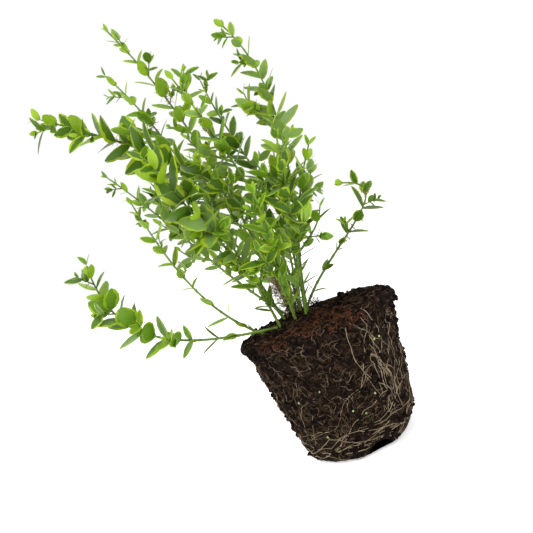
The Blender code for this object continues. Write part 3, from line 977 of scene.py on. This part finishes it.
def across(axis):
    """Two headings square to the axis, the first of them level."""
    level = axis.cross(UP)
    if level.length < NEARLY_UPRIGHT:
        level = Vector((1, 0, 0))
    first = (level - axis * level.dot(axis)).normalized()
    return first, axis.cross(first)


class Space:
    """Which shoot each point of a stem or twig belongs to, and where the bare limbs are."""

    def __init__(self):
        self.points, self.owners, self.limbs = [], [], []
        self.tree = self.limb_tree = None

    def add(self, owner, line):
        points = line.stretch(0, line.length, SKELETON_STEP).points
        self.points += points
        self.owners += [owner] * len(points)
        self.tree = self.tree_of(self.points)

    def add_limb(self, line):
        self.limbs += line.stretch(0, line.length, SKELETON_STEP).points
        self.limb_tree = self.tree_of(self.limbs)

    @staticmethod
    def tree_of(points):
        tree = KDTree(len(points))
        for i, point in enumerate(points):
            tree.insert(point, i)
        tree.balance()
        return tree

    def holds(self, owner, point):
        """True if a leaf of this shoot may reach the point."""
        if self.limb_tree.find(point)[2] < LIMB_ROOM:
            return False
        x, y, z = point
        over_soil = math.hypot(x, y) < BALL_LIP_RADIUS + SOIL_ROOM
        if over_soil and z < soil_top(x, y) + SOIL_ROOM:
            return False
        return self.owners[self.tree.find(point)[1]] == owner

    def has_room(self, owner, point):
        """True if a twig of this shoot may reach the point."""
        near = self.tree.find_range(point, TWIG_ROOM)
        return self.holds(owner, point) and all(self.owners[i] == owner for _, i, _ in near)


def side_twigs(line, shoot, chance, space):
    """Lines of the twigs that leave a shoot, spread evenly up it and round it."""
    found = []
    turn = chance.uniform(0, math.tau)
    for number in range(shoot.twigs):
        share = (number + TWIG_PLACING[0]) / (shoot.twigs + TWIG_PLACING[1])
        point, axis = line.at(TWIG_START + (line.length - TWIG_START) * share)
        first, second = across(axis)
        reach = TWIG_REACH + (TWIG_REACH_AT_TIP - TWIG_REACH) * share
        turn += TWIG_TURN
        for _ in range(TWIG_TRIES):
            out = first * math.cos(turn) + second * math.sin(turn)
            leave = axis * math.cos(TWIG_LEAN) + out * math.sin(TWIG_LEAN)
            tip = point + (leave + UP * TWIG_LIFT).normalized() * reach
            bend = (point + leave * reach * TWIG_BEND[0], tip - axis * reach * TWIG_BEND[1])
            points = interpolate_bezier(point, *bend, tip, TWIG_STEPS + 1)
            if all(space.has_room(shoot.name, place) for place in points[TWIG_FREE_FROM:]):
                found.append(Line(points))
                break
            turn += TWIG_TURN_AGAIN
            reach -= TWIG_SHORTENED
    return found


# Leaves


def leaf_outline(t):
    """The breadth at a share of the length, next to the leaf's full breadth."""
    if 0 < t < 1:
        return math.sin(math.pi * t**LEAF_BELLY) ** LEAF_FULLNESS
    return LEAF_ENDS[0] - LEAF_ENDS[1] * t


def leaf_parts(breadth, fold, droop, curl, green, splash, lime):
    """The green heart and the gold edge of a leaf one unit long, as points and faces."""
    points = []
    for i, t in enumerate(LEAF_STATIONS):
        half = 0.5 * breadth * leaf_outline(t)
        half *= LEAF_WAVE[i % 2]
        heart = half * (green + SPLASH * math.sin(i * SPLASH_BEAT + splash))
        heart = heart * (1 if t < HEART_NARROWS_AT else HEART_AT_TIP)
        for y in (-half, -heart, 0, heart, half):
            outer = abs(y) / max(half, TINY)
            z = fold * abs(y) - droop * t * t - curl * outer**3 * half
            points.append((t, y, z))
    heart_faces, edge_faces = [], []
    for i in range(len(LEAF_STATIONS) - 1):
        a, b = LEAF_ROW * i, LEAF_ROW * (i + 1)
        for j in range(LEAF_ROW - 1):
            face = (a + j, b + j, b + j + 1, a + j + 1)
            (heart_faces if j in HEART_STRIPS and not lime else edge_faces).append(face)
    return np.array(points), heart_faces, edge_faces


def leaf_matrix(root, along, face, length):
    """Places the unit leaf with its root in the stem and its upper side to the face."""
    x_axis = along.normalized()
    y_axis = face.cross(x_axis).normalized()
    turn = Matrix((x_axis, y_axis, x_axis.cross(y_axis))).transposed().to_4x4()
    return Matrix.Translation(root) @ turn @ Matrix.Diagonal((length, length, length, 1))


def leaf_fits(space, owner, matrix, breadth):
    """True if the leaf's tip and rim lie in its own shoot's space."""
    rim = [LEAF_TIP]
    for along, half in LEAF_RIM:
        for side in (-1, 1):
            rim.append((along, side * half * breadth, LEAF_RIM_HEIGHT))
    return all(space.holds(owner, matrix @ Vector(point)) for point in rim)


def low_leaf_fits(space, owner, matrix, breadth):
    """A leaf on a bare stretch keeps off the soil, its outer half clear of every limb."""
    for along in LOW_LEAF_TESTS:
        x, y, z = point = matrix @ Vector((along, 0, 0))
        if space.limb_tree.find(point)[2] < LIMB_ROOM or z < soil_top(x, y) + SOIL_ROOM:
            return False
    return True


class Leaves:
    """The leaves' hearts and edges, in a pile for each tint."""

    def __init__(self):
        self.hearts = [Pile() for _ in HEARTS]
        self.edges = [Pile() for _ in EDGES]

    def deal(self, matrix, breadth, tint, lime, chance):
        ranges = (FOLDS, DROOPS, CURLS, GREENS, (0, math.tau))
        shape = [chance.uniform(*limits) for limits in ranges]
        points, heart_faces, edge_faces = leaf_parts(breadth, *shape, lime)
        placed = points @ np.array(matrix.to_3x3()).T + np.array(matrix.translation)
        if heart_faces:
            self.hearts[tint].add(placed, heart_faces)
        self.edges[LIME_EDGE if lime else tint % len(EDGES)].add(placed, edge_faces)

    def pieces(self):
        for (name, colour), pile in zip(HEARTS, self.hearts):
            finish = plain(f"heart_{name}", colour, LEAF_ROUGHNESS)
            pile.piece(f"leaf_hearts_{name}", finish, "leaf", FOLIAGE_NODES)
        for (name, colour), pile in zip(EDGES, self.edges):
            finish = plain(f"edge_{name}", colour, LEAF_ROUGHNESS)
            pile.piece(f"leaf_edges_{name}", finish, "leaf", FOLIAGE_NODES)


def leaf_length(size, share):
    """Leaves are longest above the middle of a stem and shortest at its tip."""
    return size * (0.8 + 0.4 * math.sin(math.pi * min(1, share * 1.1)) - 0.3 * share**4)


def grow_leaves(line, start, shoot, size, chance, space, leaves,
                lime_from=LIME_FROM, fits=leaf_fits):
    """Crossed pairs of leaves along a line, each in one spray's tint."""
    count = max(2, round((line.length - start) / (shoot.pitch * PITCH_SHARE * MM)))
    turn = chance.uniform(0, math.pi)
    tint = chance.randrange(len(HEARTS))
    breadth = shoot.breadth * LEAF_BREADTH
    for pair in range(count + 1):
        share = pair / count
        point, axis = line.at(start + (line.length - start) * share)
        first, second = across(axis)
        turn += PAIR_TURN + chance.uniform(-PAIR_WOBBLE, PAIR_WOBBLE)
        lean = LEAF_LEAN + (LEAF_LEAN_AT_TIP - LEAF_LEAN) * share**3
        length = leaf_length(size, share)
        for side in (0, 1):
            root = point + axis * PAIR_STAGGER * (2 * side - 1)
            for attempt in range(LEAF_TRIES):
                stray = chance.uniform(-SWING_ON_RETRY, SWING_ON_RETRY)
                swing = turn + math.pi * side + attempt * stray
                tilt = lean + chance.uniform(-LEAF_TILT, LEAF_TILT) - TILT_ON_RETRY * attempt
                shorter = 1 - SHORTER_ON_RETRY * attempt
                reach = length * chance.uniform(*LEAF_LENGTHS) * shorter
                out = first * math.cos(swing) + second * math.sin(swing)
                along = axis * math.cos(tilt) + out * math.sin(tilt)
                face = axis * math.sin(tilt) - out * math.cos(tilt) + UP * LEAF_LIGHTWARD
                face.rotate(Matrix.Rotation(chance.uniform(-LEAF_ROLL, LEAF_ROLL), 3, along))
                matrix = leaf_matrix(root, along, face, reach)
                if fits(space, shoot.name, matrix, breadth):
                    lime = share > lime_from and chance.random() < LIME_SHARE
                    leaves.deal(matrix, breadth, tint, lime, chance)
                    break


# The plant


def grow_limbs(soil):
    """The old cutting, each shoot's whole line, leafy stretch and twigs, and their spaces."""
    space = Space()
    x, y = BASE_FOOT
    foot = Vector((x, y, resting_height(soil, x, y, BASE_CLEARANCE)))
    steps = range(BASE_LINE_STEPS + 1)
    base = Line(foot + BASE_RISE * i / BASE_LINE_STEPS for i in steps)
    space.add_limb(base)
    lines, stems, twigs = {}, {}, {}
    for shoot in SHOOTS:
        whole = shoot_line(shoot, soil)
        split = whole.length * shoot.bare
        lower = whole.stretch(0, split - GAP / 2, LINE_STEP)
        upper = whole.stretch(split + GAP / 2, whole.length, LINE_STEP)
        space.add_limb(Line(lower.points[:-1]))
        space.add(shoot.name, upper)
        lines[shoot.name], stems[shoot.name] = whole, upper
    for number, shoot in enumerate(SHOOTS):
        chance = random.Random(TWIG_SEED + number)
        twigs[shoot.name] = side_twigs(stems[shoot.name], shoot, chance, space)
        for twig in twigs[shoot.name]:
            space.add(shoot.name, Line(twig.points[::TWIG_KEPT_EVERY]))
    return base, lines, stems, twigs, space


def add_stem(pile, whole, shoot):
    """The stem, rooted in the soil, which swells a little at even distances of the shoot's pair
    spacing.
    """
    rooted = whole.points[0] - direction(*shoot.leave) * ROOTED
    whole = Line([rooted, *whole.points])
    fine = whole.stretch(0, whole.length, FINE_LINE_STEP)
    radii = []
    for distance in fine.along:
        share = distance / fine.length
        radius = STEM_RADII[0] + (STEM_RADII[1] - STEM_RADII[0]) * share
        beat = distance / (shoot.pitch * MM)
        swell = NODE_SWELL * max(0, math.cos(math.tau * beat)) ** NODE_SHARPNESS
        radii.append(radius * STEM_THINNING * (1 + swell))
    pile.tube(fine.points, radii, STEM_SIDES)


def grow_low_leaves(line, shoot, size, chance, space, leaves):
    """The narrow leaves on a shoot's bare stretch."""
    spaced, size_share = LOW_LEAVES[shoot.name]
    lance = shoot._replace(breadth=LANCE_BREADTH, pitch=spaced / PITCH_SHARE)
    bare = line.stretch(0, line.length * shoot.bare, LINE_STEP)
    grow_leaves(bare, LOW_START, lance, size * size_share, chance, space, leaves,
                NEVER_LIME, low_leaf_fits)


def grow_sprigs(pile, carrier, shoot, size, chance, space, leaves):
    for i in range(int(carrier.length / SPRIG_SPACING)):
        point, axis = carrier.at(SPRIG_SPACING * (i + SPRIG_OFFSET))
        first, second = across(axis)
        swing = chance.uniform(0, math.tau)
        out = first * math.cos(swing) + second * math.sin(swing)
        heading = (axis * SPRIG_FORWARD + out * SPRIG_OUTWARD).normalized()
        tip = point + heading * chance.uniform(*SPRIG_LENGTH)
        if space.holds(shoot.name, tip):
            run = [point.lerp(tip, j / (SPRIG_POINTS - 1)) for j in range(SPRIG_POINTS)]
            pile.tube(run, tapered(SPRIG_RADII, SPRIG_POINTS), SPRIG_SIDES)
            grow_leaves(Line(run), SPRIG_LEAVES_START, shoot, size * SPRIG_LEAF_SIZE,
                        chance, space, leaves)


def aerial_rootlets(lines):
    """Tufts of dry roots that the stems put out in the air."""
    chance = random.Random(AERIAL_SEED)
    pile = Pile()
    for name, share in AERIAL_PLACES:
        line = lines[name]
        for _ in range(AERIAL_FIBRES):
            spread = chance.uniform(-AERIAL_SPREAD, AERIAL_SPREAD)
            start = line.at(line.length * (share + spread))[0]
            heading = random_vector(chance, -1, 1) + AERIAL_DROOP
            pile.fibre(start, heading, AERIAL_FIBRE, chance)
    pile.piece("aerial_rootlets", mottled("dry_root"), "bark")


def grow_plant(soil):
    """Makes all the stems and leaves, and gives the old cutting's line."""
    base, lines, stems, twigs, space = grow_limbs(soil)
    leaves = Leaves()
    green = mottled("green_stem")
    for number, shoot in enumerate(SHOOTS):
        chance = random.Random(LEAF_SEED + number)
        line, stem, size = lines[shoot.name], stems[shoot.name], shoot.leaf * MM
        pile = Pile()
        add_stem(pile, line, shoot)
        grow_leaves(stem, STEM_LEAVES_START, shoot, size, chance, space, leaves)
        if shoot.name in LOW_LEAVES:
            grow_low_leaves(line, shoot, size, chance, space, leaves)
        for twig in twigs[shoot.name]:
            pile.tube(twig.points, tapered(TWIG_RADII, len(twig.points)), TWIG_SIDES)
            grow_leaves(twig, TWIG_LEAVES_START, shoot, size * TWIG_LEAF_SIZE,
                        chance, space, leaves)
        for carrier in [stem, *twigs[shoot.name]]:
            grow_sprigs(pile, carrier, shoot, size, chance, space, leaves)
        nodes = [f"bough_{shoot.name}", f"foliage_{shoot.name}"]
        pile.piece(f"stem_{shoot.name}", green, "green_stem", nodes)
    leaves.pieces()
    aerial_rootlets(lines)
    return base


def old_cutting(line):
    """The woody cutting, whose bark swells and narrows along its length."""
    pile = Pile()
    fine = line.stretch(0, line.length, BASE_STEP)
    radii = []
    for distance in fine.along:
        share = distance / fine.length
        relief = BARK_RELIEF * noise.noise(Vector((distance * BARK_GRAIN, 0, 0)))
        radii.append((BASE_RADIUS_MM - BASE_TAPER_MM * share) * MM * (1 + relief))
    pile.tube(fine.points, radii, BASE_SIDES)
    pile.piece("woody_base_bark", mottled("bark"), "bark", ["woody_base"])


def fibres_at_the_base(line, surface):
    """The clump of fine roots that hangs on the cutting, and the black tuft beside the stems."""
    chance = random.Random(CLUMP_SEED)
    clump, tuft = Pile(), Pile()
    for _ in range(BASE_ROOTLETS):
        height, turn = chance.uniform(0, 1), chance.uniform(0, math.tau)
        point = line.at(line.length * height)[0]
        place = point + sideways(turn) * chance.uniform(*BASE_ROOTLET_REACH_MM) * MM
        clump.fibre(place, random_vector(chance, -1, 1), BASE_ROOTLET, chance)
    for _ in range(TUFT_FIBRES):
        rim = seen_at(surface, chance.uniform(*TUFT_ACROSS), TUFT_DOWN)
        rim = rim or surface.find_nearest(line.points[0])[0]
        start = rim + scatter(chance, TUFT_SPREAD_MM)
        heading = Vector((chance.uniform(-1, 1), chance.uniform(-1, 1), TUFT_RISE))
        tuft.fibre(start, heading, TUFT_FIBRE, chance)
    clump.piece("base_rootlets", mottled("straw"), "bark")
    tuft.piece("black_tuft", mottled("black_fibre"), "soil")


# Camera, floor and light


def set_camera():
    place = Matrix((RIGHTWARD, UPWARD, -FORWARD)).transposed().to_4x4()
    place.translation = EYE
    camera = bpy.data.objects.new("camera", bpy.data.cameras.new("camera"))
    camera.data.lens = LENS
    camera.data.sensor_width = SENSOR
    camera.data.clip_start = CLIP_START
    camera.matrix_world = place
    bpy.context.scene.collection.objects.link(camera)
    bpy.context.scene.camera = camera


def set_light():
    world = bpy.data.worlds.new("studio")
    world.use_nodes = True
    background = world.node_tree.nodes["Background"]
    background.inputs["Color"].default_value = WHITE
    background.inputs["Strength"].default_value = WORLD_STRENGTH
    bpy.context.scene.world = world
    bpy.context.scene.view_settings.view_transform = "Standard"
    for name, place, power, size in LAMPS:
        lamp = bpy.data.lights.new(name, "AREA")
        lamp.energy = power
        lamp.size = size
        obj = bpy.data.objects.new(name, lamp)
        obj.location = place
        obj.rotation_euler = (LIT_PLACE - Vector(place)).to_track_quat("-Z", "Y").to_euler()
        bpy.context.scene.collection.objects.link(obj)


def set_floor():
    bpy.ops.mesh.primitive_plane_add(size=FLOOR_SIZE, location=FLOOR_PLACE)
    floor = bpy.context.object
    floor.name = "floor"
    white = plain("floor_white", FLOOR_COLOUR, FLOOR_ROUGHNESS)
    shader = white.node_tree.nodes["Principled BSDF"]
    shader.inputs["Emission Color"].default_value = WHITE
    shader.inputs["Emission Strength"].default_value = FLOOR_GLOW
    floor.data.materials.append(white)


def main():
    set_camera()
    set_light()
    set_floor()
    cad_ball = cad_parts["root_ball"].data
    corners = [vertex.co.copy() for vertex in cad_ball.vertices]
    soil = BVHTree.FromPolygons(corners, [tuple(face.vertices) for face in cad_ball.polygons])
    surface = soil_piece()
    creeping_roots(surface)
    beads_and_coir(surface)
    base = grow_plant(soil)
    old_cutting(base)
    fibres_at_the_base(base, surface)


main()
